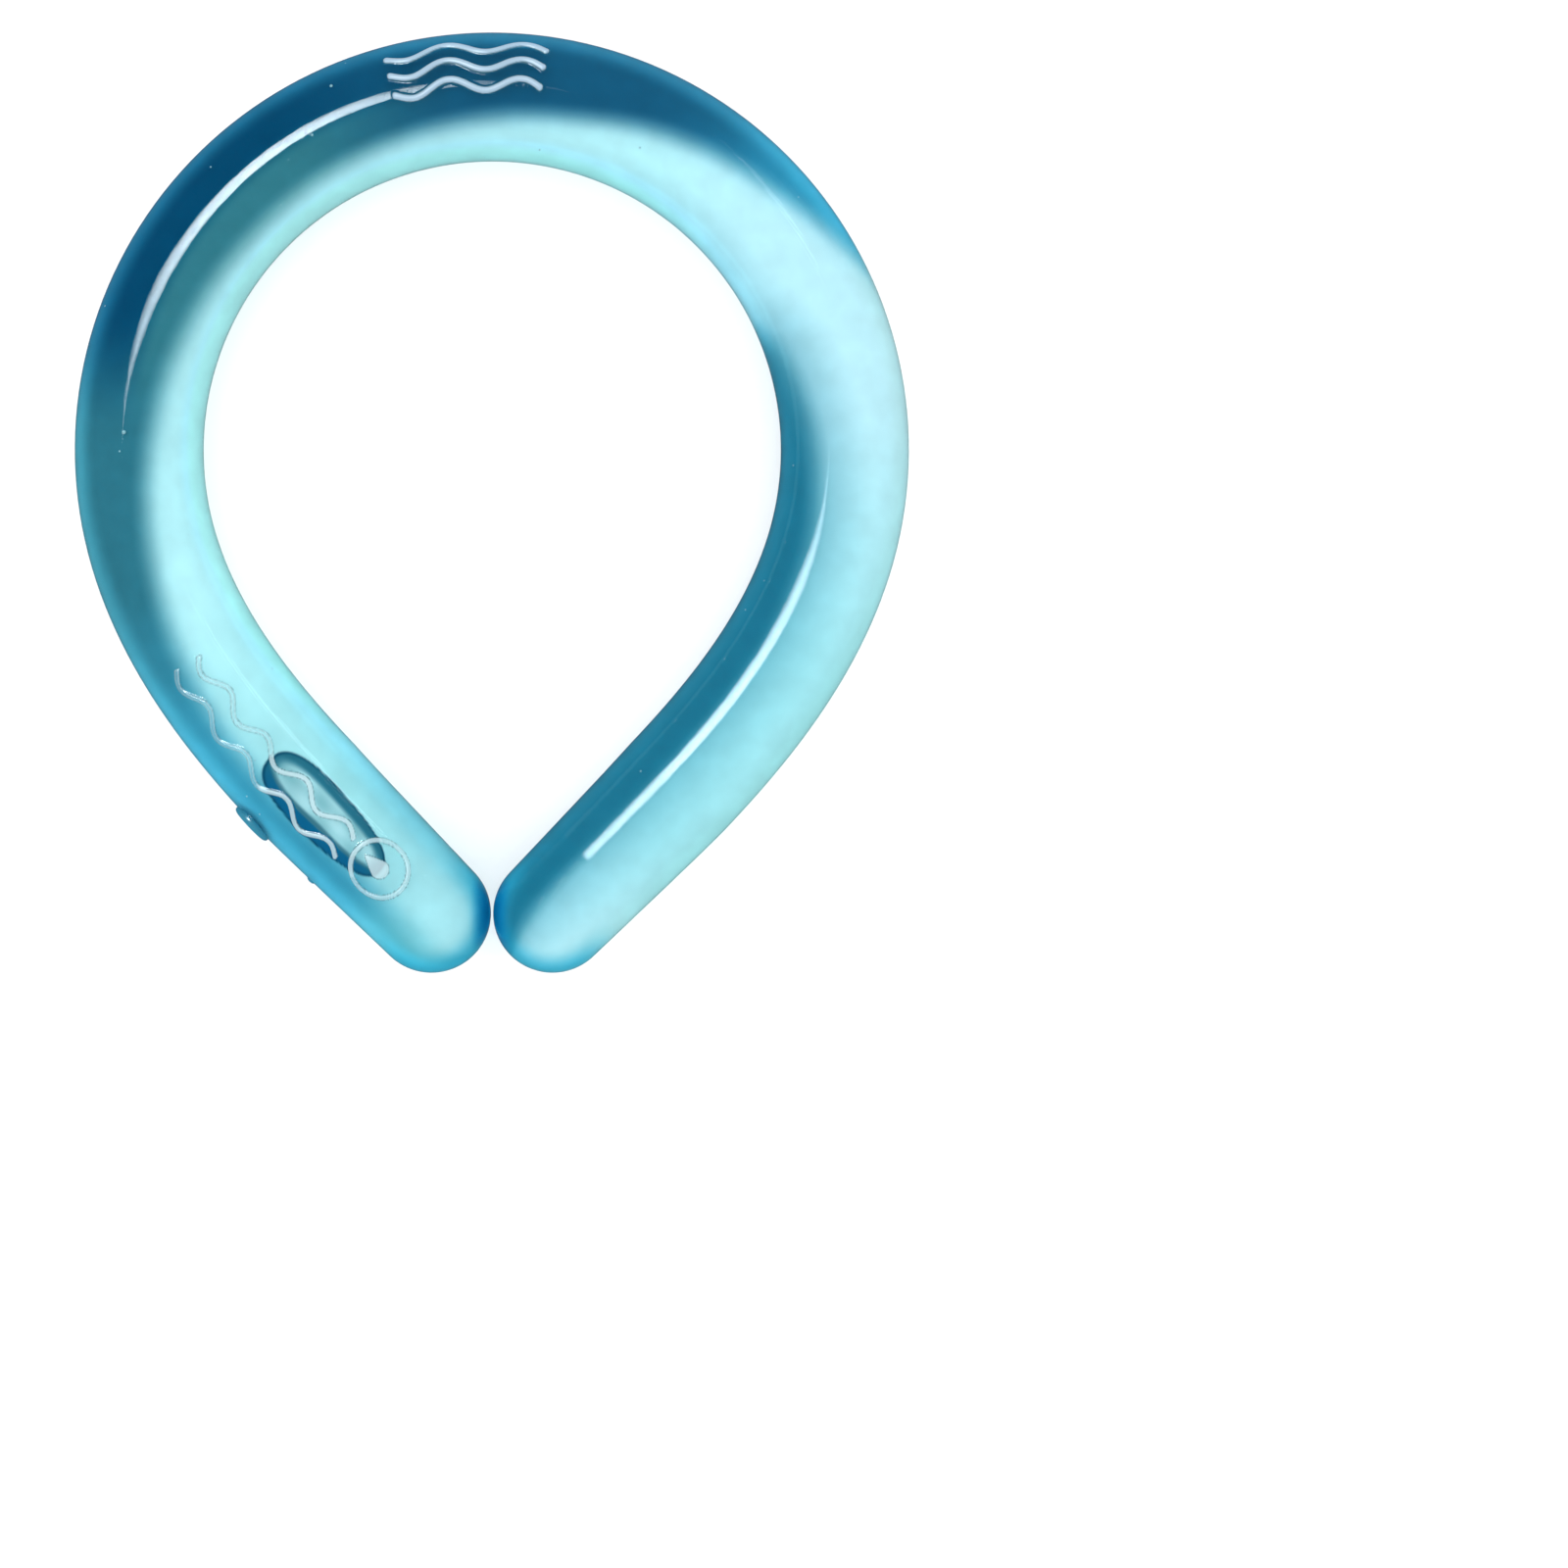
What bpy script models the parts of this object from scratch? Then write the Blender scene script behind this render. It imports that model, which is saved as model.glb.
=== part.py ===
"""Cooling neck ring: a soft sealed tube, filled with gel, bent into a ring that opens at its two tips.

Metres, +Z up. The ring lies flat on the plane Z = 0. The crown, the middle of its bow, is at +Y and the
two round tips meet at -Y. The origin is the middle of the footprint, on that plane.

A place on the tube is given by its station and its angle around the tube. The station is the length along
the centreline from the crown's middle, positive on the limb at -X, which carries the plug, the air bubble
and the marks. The angle starts at the top of the tube and grows toward the outside of the ring.
"""
import math

import bmesh
import bpy
from mathutils import Matrix, Vector

OBJECT_NAME = "cooling_neck_ring"

# Centreline: an arc at the crown, then on each side an easing bend and a straight limb to the tip
CROWN_RADIUS = 0.0600
EASE_LENGTH = 0.0647
STRAIGHT_LENGTH = 0.0166
TIP_GAP = 0.0004

# Tube
TUBE_RADIUS = 0.0109
TIP_RADIUS = 0.0101
TIP_TAPER_LENGTH = 0.030
SHELL_WALL = 0.0018
CLEARANCE = 0.0003

# Air bubble on top of the gel, an ellipsoid whose centre lies a little under the gel's surface
BUBBLE_FROM_TIP = 0.0253
BUBBLE_LENGTH = 0.0254
BUBBLE_WIDTH = 0.0092
BUBBLE_DEPTH = 0.0035
BUBBLE_SINK = 0.0006

# Fill port and the plug that closes it, on the outer side of the limb
PORT_FROM_TIP = 0.032
PLUG_HEAD_RADIUS = 0.0038
PLUG_HEAD_PROUD = 0.00075
PLUG_HEAD_EDGE = 0.0003
PLUG_STEM_RADIUS = 0.0020
SPOT_FACE_DEPTH = 0.00065
CUTTER_OVERRUN = 0.002

# Moulding nub beside the port
NUB_FROM_TIP = 0.0188
NUB_RADIUS = 0.00075
NUB_PROUD = 0.0003

# Raised marks: three short waves on the crown
CROWN_MARK_STATION = 0.0036
CROWN_MARK_AROUND = math.radians(24)
CROWN_WAVE_COUNT = 3
CROWN_WAVE_PITCH = 0.0036
CROWN_WAVE_SPAN = 0.024
CROWN_WAVE_LENGTH = 0.012
CROWN_WAVE_SWING = 0.0011
CROWN_STROKE_RADIUS = 0.0005

# Raised marks: two long waves on the limb, then a ring with a drop in it
LIMB_MARK_AROUND = math.radians(11)
LIMB_WAVE_COUNT = 2
LIMB_WAVE_PITCH = 0.0046
LIMB_WAVE_FROM_TIP = 0.018
LIMB_WAVE_SPAN = 0.040
LIMB_WAVE_LENGTH = 0.010
LIMB_WAVE_SWING = 0.0012
LIMB_STROKE_RADIUS = 0.0004
BADGE_FROM_TIP = 0.0112
BADGE_AROUND = math.radians(2)
BADGE_RADIUS = 0.0050
DROP_RADIUS = 0.0028
DROP_RAISE = 0.0004
DROP_POINTEDNESS = 1.3

# Fineness of the faceted surfaces
OUTER_SIDES = 24
INNER_SIDES = 16
STROKE_SIDES = 6
TURNED_STEPS = 24
RING_SPACING = 0.006
DOME_STEPS = 5
BUBBLE_SEGMENTS = 20
BUBBLE_RINGS = 12
TRACE_STEP = 0.00025
POINTS_PER_WAVE = 8
BADGE_POINTS = 20
DROP_POINTS = 16
WELD_DISTANCE = 0.00001
SMOOTH_ANGLE = math.radians(40)

# Colours as linear RGBA, with roughness and transmission
SHELL_FINISH = ((0.12, 0.55, 0.72, 1.0), 0.22, 0.6)
GEL_FINISH = ((0.35, 0.80, 0.90, 1.0), 0.35, 0.3)
PLUG_FINISH = ((0.07, 0.36, 0.52, 1.0), 0.30, 0.2)

AXIS_HEIGHT = TUBE_RADIUS * math.cos(math.pi / OUTER_SIDES)


def clear_scene():
    for old in list(bpy.data.objects):
        bpy.data.objects.remove(old, do_unlink=True)


def new_collection(name, parent=None):
    collection = bpy.data.collections.new(name)
    (parent or bpy.context.scene.collection).children.link(collection)
    return collection


def new_material(name, finish):
    colour, roughness, transmission = finish
    material = bpy.data.materials.new(name)
    material.use_nodes = True
    material.diffuse_color = colour
    shader = material.node_tree.nodes["Principled BSDF"]
    shader.inputs["Base Color"].default_value = colour
    shader.inputs["Roughness"].default_value = roughness
    shader.inputs["Metallic"].default_value = 0.0
    shader.inputs["Transmission Weight"].default_value = transmission
    return material


# Centreline

def turned_angle(station, crown_angle):
    """Angle that the centreline has turned through at a station, whatever its side."""
    arc_length = CROWN_RADIUS * crown_angle
    if station <= arc_length:
        return station / CROWN_RADIUS
    run = min(station - arc_length, EASE_LENGTH)
    return crown_angle + run / CROWN_RADIUS - run ** 2 / (2 * CROWN_RADIUS * EASE_LENGTH)


def walk(station, crown_angle):
    """Sideways and downward travel from the crown's middle to a station."""
    steps = max(1, math.ceil(station / TRACE_STEP))
    step = station / steps
    sideways = 0.0
    downward = 0.0
    for index in range(steps):
        angle = turned_angle((index + 0.5) * step, crown_angle)
        sideways += math.cos(angle) * step
        downward += math.sin(angle) * step
    return sideways, downward


def tip_station(crown_angle):
    """Station of the centre of a tip's round end."""
    return CROWN_RADIUS * crown_angle + EASE_LENGTH + STRAIGHT_LENGTH


def solve_crown_angle():
    """Half angle of the crown's arc that leaves TIP_GAP between the two tips."""
    wanted = TIP_RADIUS + TIP_GAP / 2
    low = math.pi / 4
    high = math.pi
    for _ in range(50):
        middle = (low + high) / 2
        if walk(tip_station(middle), middle)[0] > wanted:
            low = middle
        else:
            high = middle
    return (low + high) / 2


CROWN_ANGLE = solve_crown_angle()
TIP_STATION = tip_station(CROWN_ANGLE)
CROWN_Y = (walk(TIP_STATION, CROWN_ANGLE)[1] + TIP_RADIUS - AXIS_HEIGHT) / 2


def centre_at(station):
    """Point of the centreline at a station."""
    sideways, downward = walk(abs(station), CROWN_ANGLE)
    return Vector((-math.copysign(sideways, station), CROWN_Y - downward, AXIS_HEIGHT))


def along_at(station):
    """Unit direction of the centreline toward growing stations."""
    angle = math.copysign(turned_angle(abs(station), CROWN_ANGLE), station)
    return Vector((-math.cos(angle), -math.sin(angle), 0.0))


def outward_at(station):
    """Unit direction from the inside of the ring to its outside."""
    along = along_at(station)
    return Vector((along.y, -along.x, 0.0))


def tube_radius_at(station):
    """Outer radius of the tube, which narrows a little toward each tip."""
    from_tip = TIP_STATION - abs(station)
    share = min(max(from_tip / TIP_TAPER_LENGTH, 0.0), 1.0)
    return TIP_RADIUS + (TUBE_RADIUS - TIP_RADIUS) * share


def surface_point(station, around):
    """Point on the round outer surface."""
    spread = outward_at(station) * math.sin(around) + Vector((0.0, 0.0, math.cos(around)))
    return centre_at(station) + spread * tube_radius_at(station)


def surface_frame(station, around, inset=0.0):
    """Frame on the middle of an outer facet, X along the tube and Z out of it, moved in by the inset."""
    along = along_at(station)
    out = outward_at(station) * math.sin(around) + Vector((0.0, 0.0, math.cos(around)))
    side = out.cross(along)
    reach = tube_radius_at(station) * math.cos(math.pi / OUTER_SIDES) - inset
    place = centre_at(station) + out * reach
    return Matrix.Translation(place) @ Matrix((along, side, out)).transposed().to_4x4()


# Mesh tools

def add_object(name, mesh, collection):
    thing = bpy.data.objects.new(name, mesh)
    collection.objects.link(thing)
    return thing


def make_guide(thing):
    thing.hide_render = True
    thing.display_type = "WIRE"


def shade(mesh):
    mesh.shade_smooth()
    mesh.set_sharp_from_angle(angle=SMOOTH_ANGLE)


def mesh_from_curve(name, curve, collection, matrix=None):
    """Welded mesh object in the place of a curve object, which is removed."""
    rail = bpy.data.objects.new(name + "_rail", curve)
    bpy.context.scene.collection.objects.link(rail)
    if matrix is not None:
        rail.matrix_world = matrix
    graph = bpy.context.evaluated_depsgraph_get()
    mesh = bpy.data.meshes.new_from_object(rail.evaluated_get(graph))
    thing = add_object(name, mesh, collection)
    thing.matrix_world = rail.matrix_world.copy()
    bpy.data.objects.remove(rail, do_unlink=True)
    work = bmesh.new()
    work.from_mesh(mesh)
    bmesh.ops.remove_doubles(work, verts=work.verts, dist=WELD_DISTANCE)
    bmesh.ops.recalc_face_normals(work, faces=work.faces)
    work.to_mesh(mesh)
    work.free()
    shade(mesh)
    return thing


def round_tube(name, points, radii, sides, collection, cyclic=False):
    """Closed tube through the points, with the radius given at each of them."""
    curve = bpy.data.curves.new(name + "_curve", "CURVE")
    curve.dimensions = "3D"
    curve.twist_mode = "Z_UP"
    curve.bevel_depth = 1.0
    curve.bevel_resolution = sides // 2 - 2
    curve.use_fill_caps = not cyclic
    spline = curve.splines.new("POLY")
    spline.points.add(len(points) - 1)
    spline.use_cyclic_u = cyclic
    for target, point, radius in zip(spline.points, points, radii):
        target.co = (point.x, point.y, point.z, 1.0)
        target.radius = radius
        target.tilt = math.pi / sides
    return mesh_from_curve(name, curve, collection)


def turned_solid(name, profile, collection, matrix):
    """Solid of revolution about its own Z, from a profile that runs down its outer side."""
    mesh = bpy.data.meshes.new(name)
    points = [(radius, 0.0, height) for radius, height in profile]
    edges = [(index, index + 1) for index in range(len(points) - 1)]
    mesh.from_pydata(points, edges, [])
    thing = add_object(name, mesh, collection)
    thing.matrix_world = matrix
    screw = thing.modifiers.new("turn", "SCREW")
    screw.axis = "Z"
    screw.angle = 2 * math.pi
    screw.steps = TURNED_STEPS
    screw.render_steps = TURNED_STEPS
    screw.use_merge_vertices = True
    screw.merge_threshold = WELD_DISTANCE
    screw.use_smooth_shade = False
    return thing


def combine(target, operands, operation):
    """Boolean of the target with a whole collection of guides at once."""
    for operand in operands.objects:
        make_guide(operand)
    boolean = target.modifiers.new(operands.name, "BOOLEAN")
    boolean.operation = operation
    boolean.solver = "EXACT"
    boolean.operand_type = "COLLECTION"
    boolean.collection = operands


# Tube, cavity and gel all follow one set of stations

def ring_stations():
    """Evenly spaced stations from one tip's centre to the other."""
    half_count = math.ceil(TIP_STATION / RING_SPACING)
    return [TIP_STATION * index / half_count for index in range(-half_count, half_count + 1)]


def dome_rings(end_radius):
    """Reach beyond the tip's centre and radius of each ring of a round end, out to its pole."""
    rings = []
    for step in range(1, DOME_STEPS):
        angle = math.pi / 2 * step / DOME_STEPS
        rings.append((end_radius * math.sin(angle), end_radius * math.cos(angle)))
    rings.append((end_radius, 0.0))
    return rings


def domed_tube(name, inset, sides, collection):
    """The whole bent tube with round ends, its surface lying the inset under the outer one."""
    dome = dome_rings(TIP_RADIUS - inset)
    rings = []
    for reach, radius in reversed(dome):
        rings.append((centre_at(-TIP_STATION) - along_at(-TIP_STATION) * reach, radius))
    for station in ring_stations():
        rings.append((centre_at(station), tube_radius_at(station) - inset))
    for reach, radius in dome:
        rings.append((centre_at(TIP_STATION) + along_at(TIP_STATION) * reach, radius))
    points, radii = zip(*rings)
    return round_tube(name, points, radii, sides, collection)


# Raised marks

def wave_stroke(name, station, around, span, wave_length, swing, stroke_radius, collection):
    """A rounded wave that runs along the tube, centred on its station and angle."""
    count = round(span / wave_length * POINTS_PER_WAVE)
    points = []
    for index in range(count + 1):
        along = span * (index / count - 0.5)
        sideways = swing * math.sin(2 * math.pi * along / wave_length)
        points.append(surface_point(station + along, around + sideways / TUBE_RADIUS))
    radii = [stroke_radius] * len(points)
    return round_tube(name, points, radii, STROKE_SIDES, collection)


def wave_rows(name, count, pitch, station, around, span, wave_length, swing, stroke_radius, collection):
    """Equal waves side by side across the tube."""
    for row in range(count):
        offset = (row - (count - 1) / 2) * pitch / TUBE_RADIUS
        wave_stroke(f"{name}_{row + 1}", station, around + offset, span, wave_length, swing,
                    stroke_radius, collection)


def badge_ring(collection):
    """The plain ring of the mark nearest the tip."""
    points = []
    for index in range(BADGE_POINTS):
        angle = 2 * math.pi * index / BADGE_POINTS
        station = TIP_STATION - BADGE_FROM_TIP + BADGE_RADIUS * math.cos(angle)
        points.append(surface_point(station, BADGE_AROUND + BADGE_RADIUS * math.sin(angle) / TUBE_RADIUS))
    radii = [LIMB_STROKE_RADIUS] * len(points)
    return round_tube("badge_ring", points, radii, STROKE_SIDES, collection, cyclic=True)


def badge_drop(collection):
    """The drop inside the ring: a flat plate with its point toward the crown."""
    curve = bpy.data.curves.new("badge_drop_curve", "CURVE")
    curve.dimensions = "2D"
    curve.fill_mode = "BOTH"
    curve.extrude = DROP_RAISE + TUBE_RADIUS - math.sqrt(TUBE_RADIUS ** 2 - DROP_RADIUS ** 2)
    spline = curve.splines.new("POLY")
    spline.points.add(DROP_POINTS - 1)
    spline.use_cyclic_u = True
    for index, target in enumerate(spline.points):
        angle = 2 * math.pi * index / DROP_POINTS
        width = math.sin(angle) * math.sin(angle / 2) ** DROP_POINTEDNESS
        target.co = (-DROP_RADIUS * math.cos(angle), DROP_RADIUS * width, 0.0, 1.0)
    inset = curve.extrude - DROP_RAISE
    matrix = surface_frame(TIP_STATION - BADGE_FROM_TIP, BADGE_AROUND, inset)
    return mesh_from_curve("badge_drop", curve, collection, matrix)


def nub_peg(collection):
    """Peg that stands NUB_PROUD out of the outer surface."""
    profile = [(0.0, NUB_PROUD), (NUB_RADIUS, NUB_PROUD), (NUB_RADIUS, -NUB_RADIUS), (0.0, -NUB_RADIUS)]
    matrix = surface_frame(TIP_STATION - NUB_FROM_TIP, math.pi / 2)
    return turned_solid("moulding_nub", profile, collection, matrix)


# Fill port and plug share one frame on the outer side of the limb

def port_frame():
    return surface_frame(TIP_STATION - PORT_FROM_TIP, math.pi / 2)


def port_cutter(collection):
    """Stepped cutter: a shallow seat for the plug's head and the hole for its stem."""
    seat_radius = PLUG_HEAD_RADIUS + CLEARANCE
    hole_radius = PLUG_STEM_RADIUS + CLEARANCE
    bottom = -(SHELL_WALL + CUTTER_OVERRUN)
    profile = [(0.0, CUTTER_OVERRUN), (seat_radius, CUTTER_OVERRUN), (seat_radius, -SPOT_FACE_DEPTH),
               (hole_radius, -SPOT_FACE_DEPTH), (hole_radius, bottom), (0.0, bottom)]
    return turned_solid("port_cutter", profile, collection, port_frame())


def build_fill_plug(collection):
    """Disc with a short stem that closes the hole through which the gel is filled in."""
    head_bottom = CLEARANCE - SPOT_FACE_DEPTH
    stem_bottom = -SHELL_WALL
    profile = [(0.0, PLUG_HEAD_PROUD), (PLUG_HEAD_RADIUS - PLUG_HEAD_EDGE, PLUG_HEAD_PROUD),
               (PLUG_HEAD_RADIUS, PLUG_HEAD_PROUD - PLUG_HEAD_EDGE), (PLUG_HEAD_RADIUS, head_bottom),
               (PLUG_STEM_RADIUS, head_bottom), (PLUG_STEM_RADIUS, stem_bottom), (0.0, stem_bottom)]
    plug = turned_solid("fill_plug", profile, collection, port_frame())
    plug.data.materials.append(new_material("plug_plastic", PLUG_FINISH))
    return plug


def bubble_cutter(collection):
    """Ellipsoid of the air bubble, laid along the limb on top of the gel."""
    mesh = bpy.data.meshes.new("bubble_cutter")
    work = bmesh.new()
    bmesh.ops.create_uvsphere(work, u_segments=BUBBLE_SEGMENTS, v_segments=BUBBLE_RINGS, radius=1.0)
    half_height = BUBBLE_DEPTH - BUBBLE_SINK
    size = Matrix.Diagonal((BUBBLE_LENGTH / 2, BUBBLE_WIDTH / 2, half_height, 1.0))
    bmesh.ops.transform(work, matrix=size, verts=work.verts)
    work.to_mesh(mesh)
    work.free()
    cutter = add_object("bubble_cutter", mesh, collection)
    inset = SHELL_WALL + CLEARANCE + BUBBLE_SINK
    cutter.matrix_world = surface_frame(TIP_STATION - BUBBLE_FROM_TIP, 0.0, inset)
    return cutter


def build_cooling_gel(parts, cutters):
    """Gel core that fills the tube but for the air bubble."""
    gel = domed_tube("cooling_gel", SHELL_WALL + CLEARANCE, INNER_SIDES, parts)
    hollows = new_collection("gel_hollows", cutters)
    bubble_cutter(hollows)
    combine(gel, hollows, "DIFFERENCE")
    gel.data.materials.append(new_material("phase_change_gel", GEL_FINISH))
    return gel


def build_tube_shell(parts, cutters):
    """Hollow soft tube with round tips, its marks and nub raised in one piece with it."""
    shell = domed_tube("tube_shell", 0.0, OUTER_SIDES, parts)
    raised = new_collection("shell_raised_marks", cutters)
    wave_rows("crown_wave", CROWN_WAVE_COUNT, CROWN_WAVE_PITCH, CROWN_MARK_STATION, CROWN_MARK_AROUND,
              CROWN_WAVE_SPAN, CROWN_WAVE_LENGTH, CROWN_WAVE_SWING, CROWN_STROKE_RADIUS, raised)
    limb_middle = TIP_STATION - LIMB_WAVE_FROM_TIP - LIMB_WAVE_SPAN / 2
    wave_rows("limb_wave", LIMB_WAVE_COUNT, LIMB_WAVE_PITCH, limb_middle, LIMB_MARK_AROUND,
              LIMB_WAVE_SPAN, LIMB_WAVE_LENGTH, LIMB_WAVE_SWING, LIMB_STROKE_RADIUS, raised)
    badge_ring(raised)
    badge_drop(raised)
    nub_peg(raised)
    combine(shell, raised, "UNION")
    hollows = new_collection("shell_hollows", cutters)
    domed_tube("cavity_cutter", SHELL_WALL, INNER_SIDES, hollows)
    port_cutter(hollows)
    combine(shell, hollows, "DIFFERENCE")
    shell.data.materials.append(new_material("soft_shell", SHELL_FINISH))
    return shell


def main():
    clear_scene()
    parts = new_collection(OBJECT_NAME)
    cutters = new_collection(OBJECT_NAME + "_cutters")
    holder = add_object(OBJECT_NAME + "_frame", None, parts)
    pieces = [build_tube_shell(parts, cutters), build_cooling_gel(parts, cutters), build_fill_plug(parts)]
    for piece in pieces:
        piece.parent = holder


main()
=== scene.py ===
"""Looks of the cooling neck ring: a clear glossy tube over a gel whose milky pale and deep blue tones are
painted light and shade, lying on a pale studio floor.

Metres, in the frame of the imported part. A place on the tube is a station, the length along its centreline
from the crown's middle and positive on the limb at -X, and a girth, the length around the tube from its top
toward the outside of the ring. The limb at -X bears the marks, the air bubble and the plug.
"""
import math
import random

import bmesh
import bpy
import numpy as np
from mathutils import Matrix, Vector


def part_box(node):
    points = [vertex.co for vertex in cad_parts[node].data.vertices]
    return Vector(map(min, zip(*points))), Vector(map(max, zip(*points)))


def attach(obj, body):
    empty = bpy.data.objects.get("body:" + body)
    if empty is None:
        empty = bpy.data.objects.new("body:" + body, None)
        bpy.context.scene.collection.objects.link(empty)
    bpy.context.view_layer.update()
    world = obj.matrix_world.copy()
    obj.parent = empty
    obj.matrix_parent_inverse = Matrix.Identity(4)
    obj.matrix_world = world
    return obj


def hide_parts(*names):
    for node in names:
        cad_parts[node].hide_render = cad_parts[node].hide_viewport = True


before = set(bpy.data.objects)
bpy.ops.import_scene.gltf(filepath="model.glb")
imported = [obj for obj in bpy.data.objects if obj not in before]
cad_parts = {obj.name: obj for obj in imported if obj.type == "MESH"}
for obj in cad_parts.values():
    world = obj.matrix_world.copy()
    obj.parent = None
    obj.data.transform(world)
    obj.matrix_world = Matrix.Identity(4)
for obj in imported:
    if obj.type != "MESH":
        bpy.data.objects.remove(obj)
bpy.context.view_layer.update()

UP = np.array([0.0, 0.0, 1.0])

# Centreline and tube, the same sizes as the part's own
CROWN_RADIUS = 0.0600
EASE_LENGTH = 0.0647
STRAIGHT_LENGTH = 0.0166
TIP_GAP = 0.0004
TUBE_RADIUS = 0.0109
TIP_RADIUS = 0.0101
TIP_TAPER_LENGTH = 0.030
GEL_INSET = 0.0021
TABLE_POINTS = 4001
SOLVE_STEPS = 40

SHELL_HIGH = Vector(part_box("tube_shell")[1])
AXIS_HEIGHT = TUBE_RADIUS
CROWN_Y = SHELL_HIGH.y - TUBE_RADIUS

# Raised marks, where the part has them
CROWN_MARK_STATION = 0.0036
CROWN_MARK_GIRTH = 0.0046
CROWN_WAVE = {"rows": 3, "pitch": 0.0036, "span": 0.024, "length": 0.012, "swing": 0.0011,
              "half_width": 0.00065, "height": 0.00048}
LIMB_WAVE_FROM_TIP = 0.018
LIMB_MARK_GIRTH = 0.0021
LIMB_WAVE = {"rows": 2, "pitch": 0.0046, "span": 0.040, "length": 0.010, "swing": 0.0012,
             "half_width": 0.00050, "height": 0.00040}
BADGE_FROM_TIP = 0.0112
BADGE_GIRTH = 0.0004
BADGE_RADIUS = 0.0050
DROP_RADIUS = 0.0018
DROP_LENGTH = 0.0036
BEAD_POWER = 0.8
DROP_TAPER_POWER = 0.8
DROP_EDGE_POWER = 0.6

# Frost on the raised marks, with painted shade along each stroke's low edge, and the shares of a stroke's
# height at which it turns pale and clears
FROST_NAME = "mark_frost_and_painted_light"
CROWN_STROKE = (0.42, 0.58, 0.72)
LIMB_STROKE = (0.42, 0.60, 0.66)
# Painted highlight of the strokes over the bubble and in the badge
BRIGHT_STROKE_HIGHLIGHT = (0.52, 0.70, 0.75)
# Painted shade along the strokes' edges
STROKE_EDGE_SHADE = (0.04, 0.16, 0.20)
CROWN_FROST = 0.82
LIMB_FROST = 0.58
BRIGHT_FROST = 0.74
FROST_FADE = 0.25
PALE_START = 0.30
PALE_FADE = 0.30
CLEAR_MIDDLE = 0.65
CLEAR_START = 0.72
CLEAR_FADE = 0.2
CLEAR_LOSS = 0.8

# Where the limb's marks get a painted highlight: over the bubble, by its reach, and in the badge, by its
# radius
BRIGHT_REACH = 1.04
BRIGHT_FADE = 0.08
BADGE_DROP_SHARE = 0.8
BADGE_RING_SHARE = 1.2
BADGE_RING_BRIGHT = 0.55

# Air bubble under the tube's wall, wider toward the crown and squarer than an oval
BUBBLE_FROM_TIP = 0.0242
BUBBLE_GIRTH = 0.0009
BUBBLE_HALF_LENGTH = 0.0134
BUBBLE_HALF_WIDTH = 0.0062
BUBBLE_DEPTH = 0.0026
BUBBLE_WIDENING = 0.10
BUBBLE_SQUARENESS = 2.5
BUBBLE_FLATNESS = 2.4
BUBBLE_WALL_POWER = 0.7

# Screen colours painted in the bubble: painted light in its mist and painted shade toward its rim
HOLLOW_LIT_MIST = (132, 188, 196)
HOLLOW_LIT_CLEAR = (176, 222, 228)
HOLLOW_SHADE_TEAL = (40, 112, 134)
HOLLOW_SHADE = (62, 118, 134)
HOLLOW_SHADE_BLUE = (10, 98, 140)
HOLLOW_RIM_SHADE = (6, 70, 100)

# Bands of painted shade along the bubble's rim: colour, side (1 outer, -1 inner), least width, width gained
# there and fade
HOLLOW_SHADE_BANDS = [(HOLLOW_SHADE_TEAL, -1, 0.14, 0.30, 0.22), (HOLLOW_SHADE, 1, 0.12, 0.48, 0.16),
                (HOLLOW_SHADE_BLUE, 1, 0.05, 0.33, 0.07)]
BAND_SIDE_RISE = 2.0
HOLLOW_END_NARROWING = 1.3
HOLLOW_END_START = 0.74
HOLLOW_END_FADE = 0.20
HOLLOW_RIM_START = 0.94
HOLLOW_RIM_FADE = 0.04
HOLLOW_EDGE_FADE = 0.02

# Clearer patches of painted light in the bubble's mist, from two waves: their turns along and across it, and
# a shift
PATCH_FIRST = (7.0, 2.0)
PATCH_SECOND = (-4.0, 5.0)
PATCH_SHIFT = 0.7

# Plug on the outer side of the limb
PLUG_FROM_TIP = 0.032
PLUG_RADIUS = 0.0038
PLUG_PROUD = 0.00075
PLUG_SIDES = 48

# Plug's face, as radius and depth below its highest ring
PLUG_FACE = [(0.0, 0.00022), (0.0009, 0.00020), (0.0016, 0.00008), (0.0022, 0.0), (0.0029, 0.0),
             (0.0033, 0.00006), (0.0036, 0.00020), (PLUG_RADIUS, 0.00045)]

# Plug's edge and stem, as radius and height above the tube's surface
PLUG_STEM = [(PLUG_RADIUS, -0.0002), (PLUG_RADIUS - 0.0001, -0.0009), (0.0020, -0.0010), (0.0020, -0.0016),
             (0.0, -0.0016)]

# Moulding nub beside the plug
NUB_FROM_TIP = 0.0184
NUB_ANGLE = math.radians(84)
NUB_RADIUS = 0.00075
NUB_PROUD = 0.0003
NUB_DEPTH = 0.0003
NUB_STEPS = 6
NUB_SIDES = 24

# Air specks in the wall in fixed places: station, degrees round the tube from its top, and radius
SPECK_INSET = 0.0012
SPECK_ROWS = [(0.0919, 9.0, 0.00034), (0.0950, 13.0, 0.00016), (0.0248, 41.0, 0.00026),
              (0.0310, 2.0, 0.00020), (-0.0280, -21.0, 0.00018)]

# Ranges of the other specks
SPECK_SEED = 4
SPECK_COUNT = 26
SPECK_STATIONS = (-0.185, 0.185)
SPECK_DEGREES = (-75, 85)
SPECK_RADII = (0.00007, 0.00016)

# Clear wall, and the duller gloss of both tips, which ends the long gleam bluntly
WALL_IOR = 1.32
DULL_NAME = "tip_dullness"
DULL_TINT = (0.03, 0.03, 0.03, 1.0)
DULL_FROM_TIP = 0.0116
DULL_FADE = 0.0010
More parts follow.
